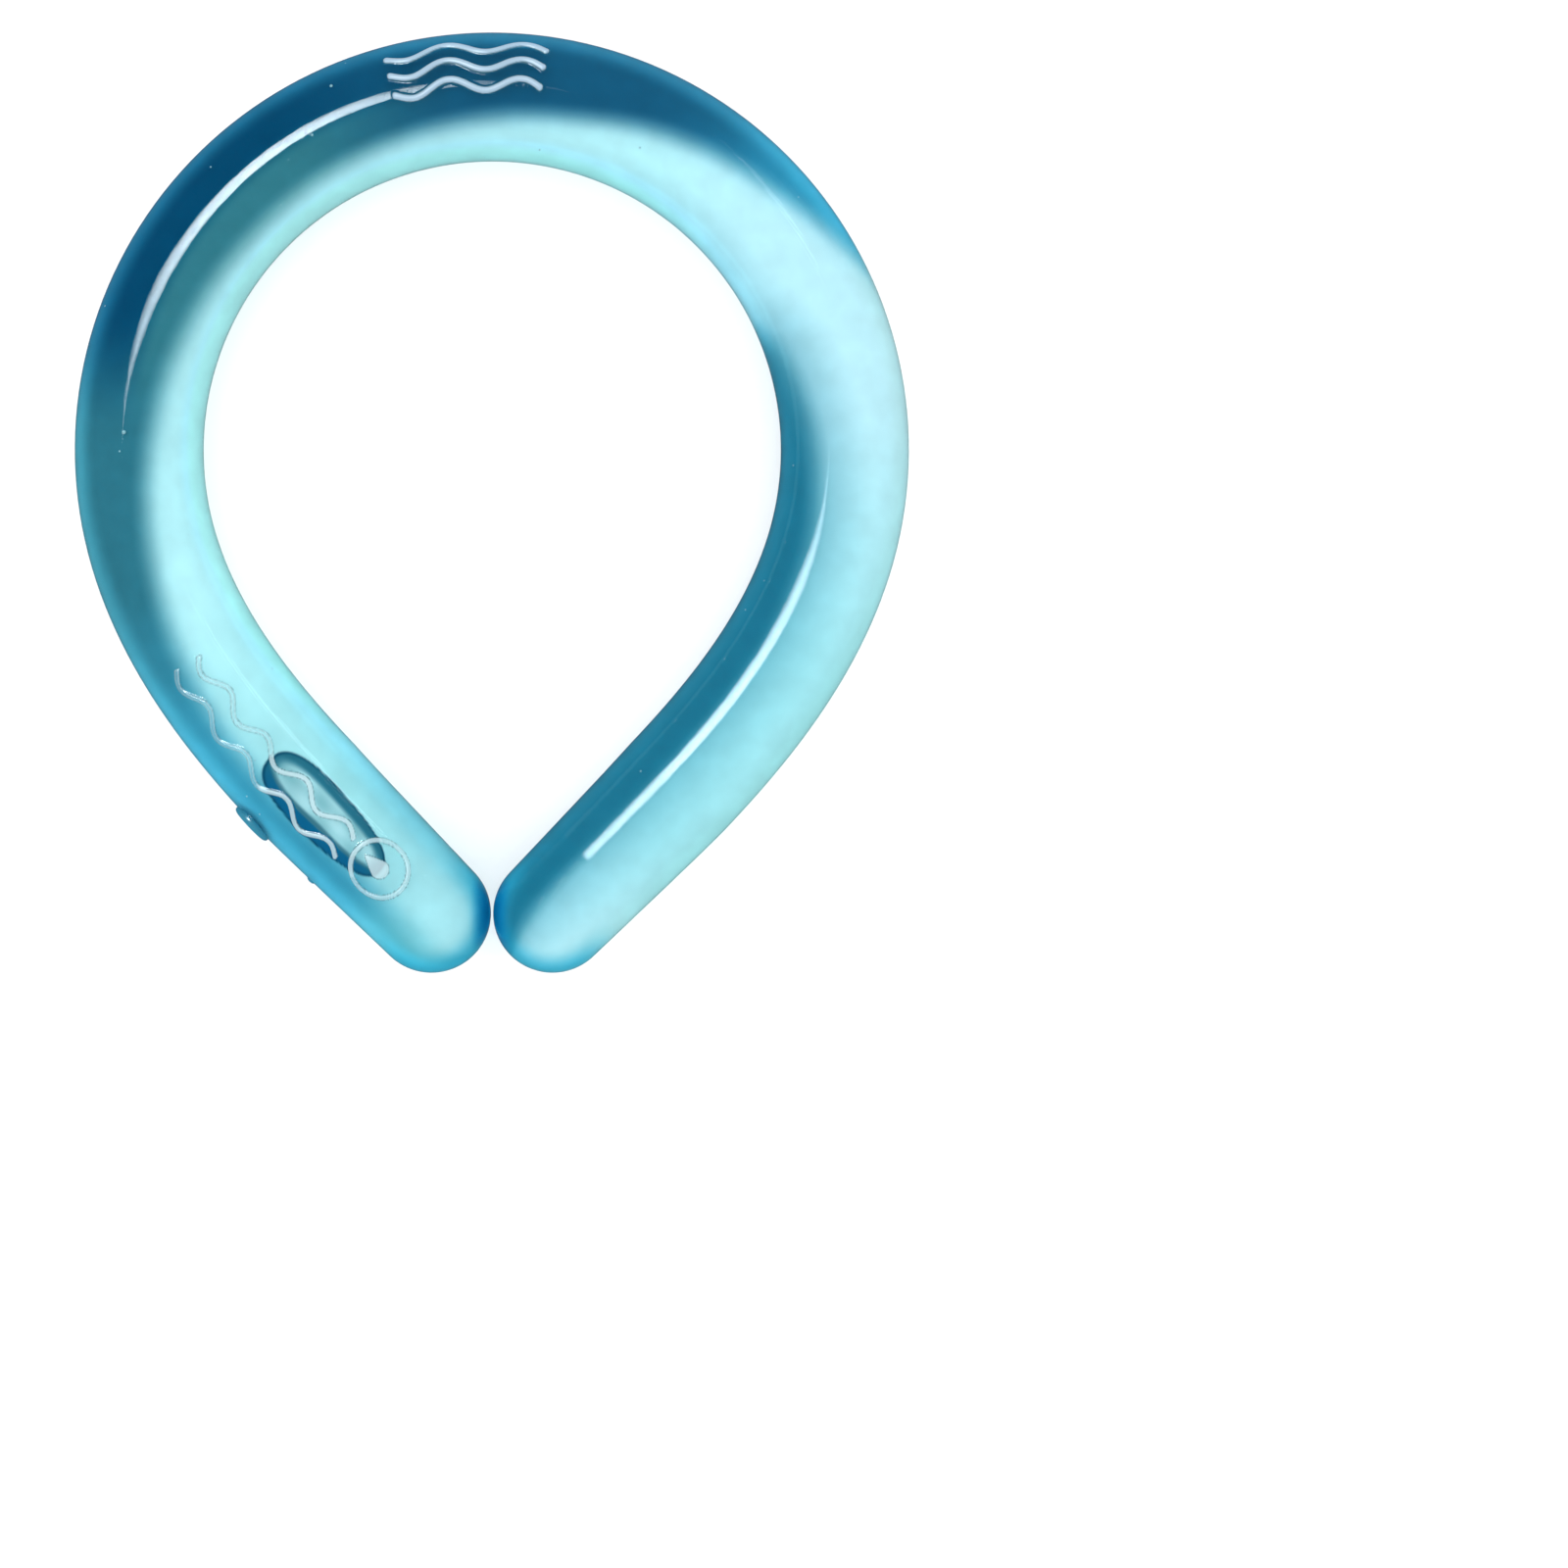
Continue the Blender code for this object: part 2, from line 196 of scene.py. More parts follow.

# Tones of the gel, which are painted light and shade over its blue: screen colours of the lit pale side and
# the shaded deep side, and the painted light added to them near the edges that show from above
GEL_SHADING_NAME = "gel_tone_and_painted_light"
# Pale tones of painted light
LIT_MILKY = (187, 228, 237)
RIGHT_LIT_MILKY = (165, 227, 234)
LOW_LIT_MILKY = (160, 216, 223)
# Deep tones of painted shade
SHADED_DEEP_BLUE = (2, 68, 102)
SHADED_CROWN_TOP = (20, 84, 117)
SHADED_CROWN_TEAL = (50, 118, 132)
SHADED_LIMB_TEAL = (44, 112, 130)
SHADED_CLEAR_BLUE = (55, 147, 176)
SHADED_UPPER_BLUE = (44, 138, 172)
SHADED_RIGHT_BLUE = (30, 113, 140)
SHADED_TIP_BLUE = (92, 174, 188)
# Painted light added near the edges that show from above, and on the crown's pale side
DEEP_RIM_PAINTED_LIGHT = (32, 56, 60)
MILKY_RIM_PAINTED_LIGHT = (10, 14, 10)
INNER_RIM_PAINTED_LIGHT = (14, 30, 52)
CROWN_PAINTED_LIGHT = (-2, 8, 4)
RIGHT_RIM_SHARE = 0.35
BRIGHTEST_TONE = 0.98

# Painted light on the rims, veils of painted shade and the crown's turn to blue, by the offset: -1 at the
# tube's inner edge, 1 at its outer one
RIM_START = 0.62
OUTER_VEIL = 0.14
OUTER_VEIL_REACH = 0.45
INNER_VEIL = 0.44
INNER_VEIL_REACH = 0.95
VEIL_POWER = 1.3
TEAL_END = 0.12
TEAL_FADE = 0.22
SEEN_POINTS = 400

# Where the deep tone of painted shade begins on each side: station in millimetres, offset and half the width
# of the change
OUTER_SHADE_EDGE = [(-75, 1.30, 0.20), (-62, 0.78, 0.25), (-50, 0.42, 0.26), (-30, 0.04, 0.27), (-15, -0.25, 0.24),
              (0, -0.39, 0.25), (15, -0.50, 0.22), (30, -0.55, 0.22), (50, -0.57, 0.24), (70, -0.48, 0.26),
              (90, -0.29, 0.27), (110, -0.05, 0.27), (130, 0.25, 0.30), (145, 0.40, 0.28), (160, 0.42, 0.25),
              (175, 0.38, 0.26), (190, 0.38, 0.34), (205, 0.70, 0.50)]
INNER_SHADE_EDGE = [(-205, -0.20, 0.30), (-185, -0.31, 0.20), (-170, -0.30, 0.18), (-150, -0.31, 0.16),
              (-130, -0.31, 0.17), (-110, -0.34, 0.24), (-90, -0.57, 0.30), (-72, -0.86, 0.28),
              (-62, -1.30, 0.20), (0, -1.50, 0.20)]

# Shares of the deep tones of painted shade: station in millimetres, crown, limb's teal, clear, upper, right,
# tip, crown's top
SHADE_TONE_SHARES = [(-75, 0, 0, 0, 0, 1, 0, 0), (-62, 0, 0, 0, 1, 0, 0, 0), (-50, 0, 0, 0, 1, 0, 0, 0),
               (-34, 0, 0, 0, 0.15, 0, 0, 0.85), (-25, 0, 0, 0, 0, 0, 0, 1), (6, 0, 0, 0, 0, 0, 0, 1),
               (34, 1, 0, 0, 0, 0, 0, 0), (76, 1, 0, 0, 0, 0, 0, 0), (90, 0, 1, 0, 0, 0, 0, 0),
               (118, 0, 1, 0, 0, 0, 0, 0), (145, 0, 0, 1, 0, 0, 0, 0), (178, 0, 0, 1, 0, 0, 0, 0),
               (188, 0, 0, 0, 0, 0, 1, 0)]

# Shares of the pale tones of painted light: station in millimetres, milky, right, low and the crown's
# painted light
LIT_TONE_SHARES = [(-190, 0.6, 0.4, 0, 0), (-168, 0, 1, 0, 0), (-130, 0, 1, 0, 0), (-88, 1, 0, 0, 0),
               (-52, 1, 0, 0, 0.3), (-32, 1, 0, 0, 1), (120, 1, 0, 0, 1), (165, 0, 0, 1, 0.5),
               (190, 0, 0, 1, 0)]

# Easing of the rows above along the tube
ROWS_END_MM = 240
EASE_MM = 7

# Painted shade in saturated blue round the tips, along the marked limb's inner side and where the tips face
# each other
TIP_RIM_SHADE_BLUE = (44, 172, 208)
TIP_RIM_SHARE = 0.85
TIP_RIM_FROM_TIP = 0.007
TIP_RIM_FADE = 0.011
TIP_RIM_START = 0.52
TIP_RIM_WIDTH = 0.46
TIP_RIM_POWER = 1.5
LIMB_RIM_SHARE = 0.30
LIMB_RIM_REACH = 0.045
LIMB_RIM_START = 0.40
CONTACT_SHADE_BLUE = (4, 118, 178)
CONTACT_SHARE = 0.9
CONTACT_FROM_TIP = 0.012
CONTACT_FADE = 0.010
CONTACT_FACING_START = 0.74
CONTACT_EDGE_START = 0.5

# Fineness of the grids
COARSE_STATION = 0.002
FINE_STEP = 0.00022
DOME_STEP = 0.0006
COARSE_ANGLE = math.radians(6)
COUNT_SLACK = 1e-6
SHORTEST_STRETCH = 1e-9

# Fine stretches of the grids: the marks, the edge of the dull gloss on the plain limb, and the bubble
MARK_GIRTHS = (-0.0062, 0.0110)
DULL_SPAN_FROM_TIP = (0.0100, 0.0124)
BUBBLE_SPAN_ALONG = 1.05
BUBBLE_SPAN_ACROSS = 1.1

# Photograph's framing, in pixels of its 1600 pixel square
PHOTO_SIZE = 1600
PHOTO_PIXELS_PER_METRE = 6000
PHOTO_AXIS_X = 502.1
PHOTO_CROWN_Y = 99.1
LENS_MM = 135
SENSOR_MM = 36

# Studio: its floor, its even light, how bright that light is in gloss, and the floor's own lamp
FLOOR_HALF_SIDE = 2.0
WORLD_LEVEL = 1.3
WORLD_GLOSS_LEVEL = 0.08
FLOOR_SUN = 1.2
FLOOR_SUN_DEGREES = 20
FLOOR_SUN_HEIGHT = 1.5

# Lamps over the ring, whose gleams join into long streaks
LAMP_HEIGHT = 1.0
LAMP_LENGTH = 0.16
LAMP_TURN_STEP = 4.0
ARC_CENTRE_Y = 0.009
LAMP_COLOR = (0.82, 0.96, 1.0)

# Rows of lamps: degrees of turn from +Y toward +X, degrees of lean from the vertical, width and radiance
LONG_ROW = [(-8, 21.5, 0.08, 1.5), (-14, 23, 0.22, 3.5), (-22, 25, 0.32, 6.5), (-30, 26, 0.35, 10.5),
            (-40, 26.5, 0.36, 12.5), (-50, 27, 0.37, 10.5), (-56, 28, 0.41, 8.5), (-62, 29, 0.41, 7.5),
            (-66, 28.5, 0.28, 7.0), (-70, 27.5, 0.14, 6.0), (-74, 26.5, 0.04, 5.0)]
FAINT_ROW = [(34, 57, 0.03, 2.5), (40, 50, 0.06, 8.0), (47, 42, 0.06, 8.0), (53, 33, 0.03, 2.5)]


# Centreline and surface of the tube

def trace_half(crown_angle):
    """Fine table of the half centreline: station, sideways, downward and turned angle."""
    total = CROWN_RADIUS * crown_angle + EASE_LENGTH + STRAIGHT_LENGTH
    station = np.linspace(0.0, total, TABLE_POINTS)
    run = np.clip(station - CROWN_RADIUS * crown_angle, 0.0, EASE_LENGTH)
    eased = crown_angle + run / CROWN_RADIUS - run ** 2 / (2 * CROWN_RADIUS * EASE_LENGTH)
    angle = np.where(station < CROWN_RADIUS * crown_angle, station / CROWN_RADIUS, eased)
    middle = (angle[1:] + angle[:-1]) / 2
    step = np.diff(station)
    sideways = np.concatenate([[0.0], np.cumsum(np.cos(middle) * step)])
    downward = np.concatenate([[0.0], np.cumsum(np.sin(middle) * step)])
    return station, sideways, downward, angle


def solve_table():
    """The table whose two tips leave the wanted gap."""
    low, high = math.pi / 4, math.pi
    for _ in range(SOLVE_STEPS):
        middle = (low + high) / 2
        if trace_half(middle)[1][-1] > TIP_RADIUS + TIP_GAP / 2:
            low = middle
        else:
            high = middle
    return trace_half((low + high) / 2)


TABLE = solve_table()
TIP_STATION = float(TABLE[0][-1])
POLE_STATION = TIP_STATION + TIP_RADIUS * math.pi / 2


def rings_at(stations, inset):
    """Centre, radius, lean and directions of the rings at the stations, round ends included."""
    side = np.where(stations < 0, -1.0, 1.0)
    reach = np.abs(stations)
    on_tube = np.minimum(reach, TIP_STATION)
    sideways, downward, angle = [np.interp(on_tube, TABLE[0], column) for column in TABLE[1:]]
    along = np.stack([-np.cos(angle), -side * np.sin(angle), 0 * angle], axis=1)
    outward = np.stack([along[:, 1], -along[:, 0], 0 * angle], axis=1)
    share = np.clip((TIP_STATION - on_tube) / TIP_TAPER_LENGTH, 0.0, 1.0)
    radius = TIP_RADIUS + (TUBE_RADIUS - TIP_RADIUS) * share - inset
    lean = side * np.clip((reach - TIP_STATION) / TIP_RADIUS, 0.0, math.pi / 2)
    centre = np.stack([-side * sideways, CROWN_Y - downward, np.full_like(angle, AXIS_HEIGHT)], axis=1)
    centre += along * (radius * np.sin(lean))[:, None]
    return centre, radius * np.cos(lean), lean, along, outward


def tube_points(stations, angles, inset, rise):
    """Points over stations by angles, raised along the surface's normal by the given rise."""
    centre, radius, lean, along, outward = rings_at(stations, inset)
    radial = outward[:, None, :] * np.sin(angles)[None, :, None] + UP * np.cos(angles)[None, :, None]
    tilted = radial * np.cos(lean)[:, None, None] + along[:, None, :] * np.sin(lean)[:, None, None]
    return centre[:, None, :] + radial * radius[:, None, None] + tilted * rise[..., None]


def surface_frame(station, angle, inset=0.0):
    """Point on the tube with its outward normal and its direction along the tube."""
    stations, angles = np.array([station]), np.array([angle])
    point = tube_points(stations, angles, inset, np.zeros((1, 1)))[0, 0]
    _, _, lean, along, outward = rings_at(stations, inset)
    normal = outward[0] * math.sin(angle) + UP * math.cos(angle)
    normal = normal * math.cos(lean[0]) + along[0] * math.sin(lean[0])
    return Vector(point), Vector(normal), Vector(along[0])


# Relief

def bead(distance, half_width, height):
    """Round-backed stroke, as high as given along its middle line."""
    return height * np.clip(1 - (distance / half_width) ** 2, 0.0, 1.0) ** BEAD_POWER


def wave_relief(station, girth, middle_station, middle_girth, wave):
    """Rows of parallel waves along the tube."""
    rise = np.zeros(np.broadcast(station, girth).shape)
    turn = 2 * math.pi / wave["length"]
    along = np.clip(station - middle_station, -wave["span"] / 2, wave["span"] / 2)
    past_end = station - middle_station - along
    slope = wave["swing"] * turn * np.cos(turn * along)
    for row in range(wave["rows"]):
        offset = (row - (wave["rows"] - 1) / 2) * wave["pitch"]
        across = girth - middle_girth - offset - wave["swing"] * np.sin(turn * along)
        distance = np.hypot(across / np.sqrt(1 + slope ** 2), past_end)
        rise = np.maximum(rise, bead(distance, wave["half_width"], wave["height"]))
    return rise


def badge_relief(station, girth):
    """Plain ring round a drop whose point faces the crown."""
    half_width, height = LIMB_WAVE["half_width"], LIMB_WAVE["height"]
    along = station - (TIP_STATION - BADGE_FROM_TIP)
    across = girth - BADGE_GIRTH
    ring = bead(np.abs(np.hypot(along, across) - BADGE_RADIUS), half_width, height)
    toward_point = np.clip(-along / DROP_LENGTH, 0.0, 1.0)
    width = DROP_RADIUS * (1 - toward_point) ** DROP_TAPER_POWER
    round_end = np.hypot(np.maximum(along, 0.0), across) - DROP_RADIUS
    pointed_end = np.abs(across) - width
    inside = -np.where(along > 0, round_end, pointed_end)
    edge = np.clip(inside / half_width, 0.0, 1.0)
    return np.maximum(ring, height * edge ** DROP_EDGE_POWER)


def raised_marks(station, girth):
    """Height of the crown's waves, the limb's waves and the badge."""
    limb_middle = TIP_STATION - LIMB_WAVE_FROM_TIP - LIMB_WAVE["span"] / 2
    crown = wave_relief(station, girth, CROWN_MARK_STATION, CROWN_MARK_GIRTH, CROWN_WAVE)
    limb = wave_relief(station, girth, limb_middle, LIMB_MARK_GIRTH, LIMB_WAVE)
    return np.maximum(np.maximum(crown, limb), badge_relief(station, girth))


def bubble_place(station, girth):
    """Place in the air bubble: along and across it, and the reach, which is 1 at its rim."""
    along = (station - (TIP_STATION - BUBBLE_FROM_TIP)) / BUBBLE_HALF_LENGTH
    widening = 1.0 + BUBBLE_WIDENING * np.clip(-along, -1.0, 1.0)
    across = (girth - BUBBLE_GIRTH) / (BUBBLE_HALF_WIDTH * widening)
    power = BUBBLE_SQUARENESS
    return along, across, (np.abs(along) ** power + np.abs(across) ** power) ** (1 / power)


def bubble_hollow(station, girth):
    """Depth of the air bubble below the gel's surface, zero outside its rim."""
    reach = bubble_place(station, girth)[2]
    return BUBBLE_DEPTH * np.clip(1 - reach ** BUBBLE_FLATNESS, 0.0, 1.0) ** BUBBLE_WALL_POWER


# Eases and blends

def smooth_step(value):
    """Eased rise from 0 to 1."""
    share = np.clip(value, 0.0, 1.0)
    return share * share * (3 - 2 * share)


def eased_edge(past, half_width):
    """Rise over an edge of the given half width, half done where past is 0."""
    return smooth_step(0.5 + past / (2 * half_width))


def rise_from(value, start):
    """Rise from 0 at the start to 1 where the value is 1."""
    return smooth_step((value - start) / (1 - start))


def near_tips(stations, from_tip, fade):
    """Rise over the fade, which begins at a distance before each tip."""
    return smooth_step((np.abs(stations) - TIP_STATION + from_tip) / fade)[:, None]


def blend(first, second, share):
    """Colours from the first to the second, by a share for each point."""
    return np.asarray(first) + (np.asarray(second) - first) * share[..., None]


def smooth_rows(rows, stations):
    """Columns of the rows, eased along the tube. The rows give their stations in millimetres."""
    fine = np.arange(-ROWS_END_MM, ROWS_END_MM + 0.5, 1.0)
    table = np.array(rows)
    window = np.hanning(2 * EASE_MM + 1)
    window /= window.sum()
    result = []
    for column in table.T[1:]:
        values = np.interp(fine, table[:, 0], column)
        values = np.convolve(np.pad(values, EASE_MM, mode="edge"), window, mode="valid")
        result.append(np.interp(stations * 1000, fine, values)[:, None])
    return result


# Tones of the gel

def seen_offset(angles):
    """Offset at which the gel at each angle shows from above, through the clear wall."""
    offset = np.linspace(0.0, 1.0, SEEN_POINTS)
    bent = np.arcsin(offset) - np.arcsin(offset / WALL_IOR)
    reach = bent + np.arcsin(offset * TUBE_RADIUS / (WALL_IOR * (TUBE_RADIUS - GEL_INSET)))
    turned = (angles + math.pi) % (2 * math.pi) - math.pi
    level = np.minimum(np.abs(turned), math.pi - np.abs(turned))
    return np.sign(turned) * np.interp(level, reach, offset)


def from_screen(color):
    """Linear colour of a screen colour given in 255ths, by the usual screen curve."""
    share = np.array(color) / 255.0
    return np.where(share <= 0.04045, share / 12.92, ((share + 0.055) / 1.055) ** 2.4)


def painted_shade_share(offset, stations):
    """How far the painted tone has turned from lit pale to shaded deep, with a thin veil of painted shade
    over the pale.
    """
    outer_middle, outer_half = smooth_rows(OUTER_SHADE_EDGE, stations)
    inner_middle, inner_half = smooth_rows(INNER_SHADE_EDGE, stations)
    past_outer = offset - outer_middle
    past_inner = inner_middle - offset
    core = np.maximum(eased_edge(past_outer, outer_half), eased_edge(past_inner, inner_half))
    outer_veil = OUTER_VEIL * np.clip(1 + past_outer / OUTER_VEIL_REACH, 0.0, 1.0) ** VEIL_POWER
    inner_veil = INNER_VEIL * np.clip(1 + past_inner / INNER_VEIL_REACH, 0.0, 1.0) ** VEIL_POWER
    return core + (1 - core) * np.maximum(outer_veil, inner_veil)


def gel_tone_and_painted_light(stations, angles):
    """Linear colours of the gel with its painted light and shade, with a fourth value of 1, over stations by
    angles.
    """
    offset = seen_offset(angles)[None, :]
    # Painted light near the edges that show from above
    rim = rise_from(np.abs(offset), RIM_START)[..., None]
    inner_rim_light = rise_from(-offset, RIM_START)[..., None]

    # Deep tones of painted shade
    shares = [share[..., None] for share in smooth_rows(SHADE_TONE_SHARES, stations)]
    crown, teal, clear, upper, right, tip, top = shares
    crown_color = blend(SHADED_CROWN_TEAL, SHADED_DEEP_BLUE, eased_edge(offset - TEAL_END, TEAL_FADE))
    deep = (crown * crown_color + teal * np.array(SHADED_LIMB_TEAL) + clear * np.array(SHADED_CLEAR_BLUE)
            + upper * np.array(SHADED_UPPER_BLUE) + right * np.array(SHADED_RIGHT_BLUE) + tip * np.array(SHADED_TIP_BLUE)
            + top * np.array(SHADED_CROWN_TOP))
    deep = deep + np.array(DEEP_RIM_PAINTED_LIGHT) * rim * (1 - right * (1 - RIGHT_RIM_SHARE))

    # Pale tones of painted light
    milky, right_lit_milky, low_lit_milky, lift = [share[..., None] for share in smooth_rows(LIT_TONE_SHARES, stations)]
    pale = (milky * np.array(LIT_MILKY) + right_lit_milky * np.array(RIGHT_LIT_MILKY)
            + low_lit_milky * np.array(LOW_LIT_MILKY))
    pale = pale + np.array(MILKY_RIM_PAINTED_LIGHT) * rim
    pale = pale + lift * (np.array(CROWN_PAINTED_LIGHT) + np.array(INNER_RIM_PAINTED_LIGHT) * inner_rim_light)

    # Painted shade laid over the painted light
    screen = blend(pale, deep, painted_shade_share(offset, stations))
    # Painted light and shade of the bubble
    screen = paint_bubble_light_and_shade(screen, stations[:, None], angles[None, :] * TUBE_RADIUS)
    # Painted shade round the tips
    screen = paint_tip_shade(screen, stations, angles)
    linear = np.minimum(from_screen(screen), BRIGHTEST_TONE)
    return np.concatenate([linear, np.ones(linear.shape[:2] + (1,))], axis=2)


def paint_bubble_light_and_shade(screen, station, girth):
    """Painted light and shade in the bubble: a blue crescent of painted shade on the outer side, a teal one
    on the inner, pale painted mist between.
    """
    along, across, reach = bubble_place(station, girth)
    side = across / np.maximum(np.hypot(along, across), 1e-6)
    first_wave = np.sin(PATCH_FIRST[0] * along + PATCH_FIRST[1] * across)
    second_wave = np.cos(PATCH_SECOND[1] * across + PATCH_SECOND[0] * along + PATCH_SHIFT)
    tone = blend(HOLLOW_LIT_MIST, HOLLOW_LIT_CLEAR, 0.5 + 0.5 * first_wave * second_wave)
    for color, facing, least_width, gain, fade in HOLLOW_SHADE_BANDS:
        width = least_width + gain * np.clip(facing * side, 0.0, 1.0)
        on_side = smooth_step(0.5 + BAND_SIDE_RISE * facing * side)
        tone = blend(tone, color, smooth_step((reach - 1 + width) / fade) * on_side)
    ends = np.clip(1.0 - HOLLOW_END_NARROWING * np.abs(side), 0.0, 1.0)
    tone = blend(tone, HOLLOW_SHADE_TEAL, smooth_step((reach - HOLLOW_END_START) / HOLLOW_END_FADE) * ends)
    tone = blend(tone, HOLLOW_RIM_SHADE, smooth_step((reach - HOLLOW_RIM_START) / HOLLOW_RIM_FADE))
    return blend(screen, tone, smooth_step((1.0 - reach) / HOLLOW_EDGE_FADE))


def paint_tip_shade(screen, stations, angles):
    """Painted shade: a saturated rim round each tip, deepest where it faces the other one."""
    _, _, lean, along, outward = rings_at(stations, GEL_INSET)
    level = np.cos(angles)[None, :] * np.cos(lean)[:, None]
    edge = np.abs(seen_offset(np.arccos(np.clip(np.abs(level), 0.0, 1.0))))
    sideways = outward[:, :1] * np.sin(angles)[None, :] * np.cos(lean)[:, None]
    sideways = sideways + (along[:, 0] * np.sin(lean))[:, None]
    facing = np.where(stations > 0, 1.0, -1.0)[:, None] * sideways
    round_tip = near_tips(stations, TIP_RIM_FROM_TIP, TIP_RIM_FADE)
    tip_rim_shade = round_tip * smooth_step((edge - TIP_RIM_START) / TIP_RIM_WIDTH) ** TIP_RIM_POWER
    screen = blend(screen, TIP_RIM_SHADE_BLUE, TIP_RIM_SHARE * tip_rim_shade)
    along_limb = smooth_step((stations - TIP_STATION + LIMB_RIM_REACH) / LIMB_RIM_REACH)[:, None]
    inner = rise_from(-seen_offset(angles), LIMB_RIM_START)[None, :]
    screen = blend(screen, TIP_RIM_SHADE_BLUE, LIMB_RIM_SHARE * along_limb * inner)
    contact_shade = near_tips(stations, CONTACT_FROM_TIP, CONTACT_FADE)
    contact_shade = contact_shade * rise_from(facing, CONTACT_FACING_START) * rise_from(edge, CONTACT_EDGE_START)
    return blend(screen, CONTACT_SHADE_BLUE, CONTACT_SHARE * contact_shade)


# Frost of the marks

def mark_frost_and_painted_light(stations, angles, rise):
    """Colour and strength of the frost: pale strokes with thin edges of painted shade, brightest over the
    bubble by a painted highlight.
    """
    crown = (stations < TIP_STATION / 2)[:, None]
    station, girth = stations[:, None], angles[None, :] * TUBE_RADIUS
    over_bubble = smooth_step((BRIGHT_REACH - bubble_place(station, girth)[2]) / BRIGHT_FADE)
    from_badge = np.hypot(station - TIP_STATION + BADGE_FROM_TIP, girth - BADGE_GIRTH)
    on_ring = BADGE_RING_BRIGHT * (from_badge < BADGE_RING_SHARE * BADGE_RADIUS)
    on_badge = np.where(from_badge < BADGE_DROP_SHARE * BADGE_RADIUS, 1.0, on_ring)
    highlight_share = np.maximum(over_bubble, on_badge)
    share = rise / np.where(crown, CROWN_WAVE["height"], LIMB_WAVE["height"])
    stroke = np.where(crown[..., None], np.array(CROWN_STROKE), blend(LIMB_STROKE, BRIGHT_STROKE_HIGHLIGHT, highlight_share))
    color = blend(STROKE_EDGE_SHADE, stroke, smooth_step((share - PALE_START) / PALE_FADE))
    clear_share = np.where(crown, 0.0, CLEAR_MIDDLE * (1 - CLEAR_LOSS * highlight_share))
    clear_middle = clear_share * smooth_step((share - CLEAR_START) / CLEAR_FADE)
    limb_frost = LIMB_FROST + (BRIGHT_FROST - LIMB_FROST) * highlight_share
    strength = np.where(crown, CROWN_FROST, limb_frost) * smooth_step(share / FROST_FADE)
    strength = strength * (1 - clear_middle)
    return np.concatenate([color, strength[..., None]], axis=2)


# Materials

def new_material(name):
    """Material with one main shader."""
    material = bpy.data.materials.new(name)
    material.use_nodes = True
    nodes = material.node_tree.nodes
    nodes.clear()
    output = nodes.new("ShaderNodeOutputMaterial")
    shader = nodes.new("ShaderNodeBsdfPrincipled")
    material.node_tree.links.new(shader.outputs["BSDF"], output.inputs["Surface"])
    return material, shader


def add_noise(material, scale, detail=2.0):
    """Noise texture in the part's own coordinates."""
    nodes, links = material.node_tree.nodes, material.node_tree.links
    place = nodes.new("ShaderNodeTexCoord")
    noise = nodes.new("ShaderNodeTexNoise")
    noise.inputs["Scale"].default_value = scale
    noise.inputs["Detail"].default_value = detail
    links.new(place.outputs["Object"], noise.inputs["Vector"])
    return noise


def add_attribute(material, name):
    """Reads a value that the mesh has at each point."""
    attribute = material.node_tree.nodes.new("ShaderNodeAttribute")
    attribute.attribute_name = name
    return attribute


def add_bump(material, shader, source, strength, distance):
    """Bump of the shader's surface after the source."""
    nodes, links = material.node_tree.nodes, material.node_tree.links
    bump = nodes.new("ShaderNodeBump")
    bump.inputs["Strength"].default_value = strength
    bump.inputs["Distance"].default_value = distance
    links.new(source.outputs["Fac"], bump.inputs["Height"])
    links.new(bump.outputs["Normal"], shader.inputs["Normal"])


def add_color_mix(material, source, first, second, target):
    """Mix of two colours after the source, linked to the target socket."""
    nodes, links = material.node_tree.nodes, material.node_tree.links
    mix = nodes.new("ShaderNodeMix")
    mix.data_type = "RGBA"
    mix.inputs["A"].default_value = first
    mix.inputs["B"].default_value = second
    links.new(source.outputs["Fac"], mix.inputs["Factor"])
    links.new(mix.outputs["Result"], target)


def clear_shell_material():
    """Glossy clear soft plastic with a faint ripple, frosted on the marks, whose frost colour holds painted
    shade and highlight, and duller at the tips.
    """
    material, shader = new_material("clear_shell")
    nodes, links = material.node_tree.nodes, material.node_tree.links
    shader.inputs["Base Color"].default_value = (0.97, 0.995, 1.0, 1.0)
    shader.inputs["Roughness"].default_value = 0.05
    shader.inputs["IOR"].default_value = WALL_IOR
    shader.inputs["Transmission Weight"].default_value = 1.0
    add_bump(material, shader, add_noise(material, 45.0, 0.0), 0.02, 0.0002)
    frost = nodes.new("ShaderNodeBsdfPrincipled")
    frost.inputs["Roughness"].default_value = 0.35
    frost.inputs["Subsurface Weight"].default_value = 0.0
    mask = add_attribute(material, FROST_NAME)
    mix = nodes.new("ShaderNodeMixShader")
    links.new(mask.outputs["Color"], frost.inputs["Base Color"])
    links.new(mask.outputs["Alpha"], mix.inputs["Fac"])
    links.new(shader.outputs["BSDF"], mix.inputs[1])
    links.new(frost.outputs["BSDF"], mix.inputs[2])
    links.new(mix.outputs["Shader"], nodes["Material Output"].inputs["Surface"])
    dull = add_attribute(material, DULL_NAME)
    add_color_mix(material, dull, (1.0, 1.0, 1.0, 1.0), DULL_TINT, shader.inputs["Specular Tint"])
    return material


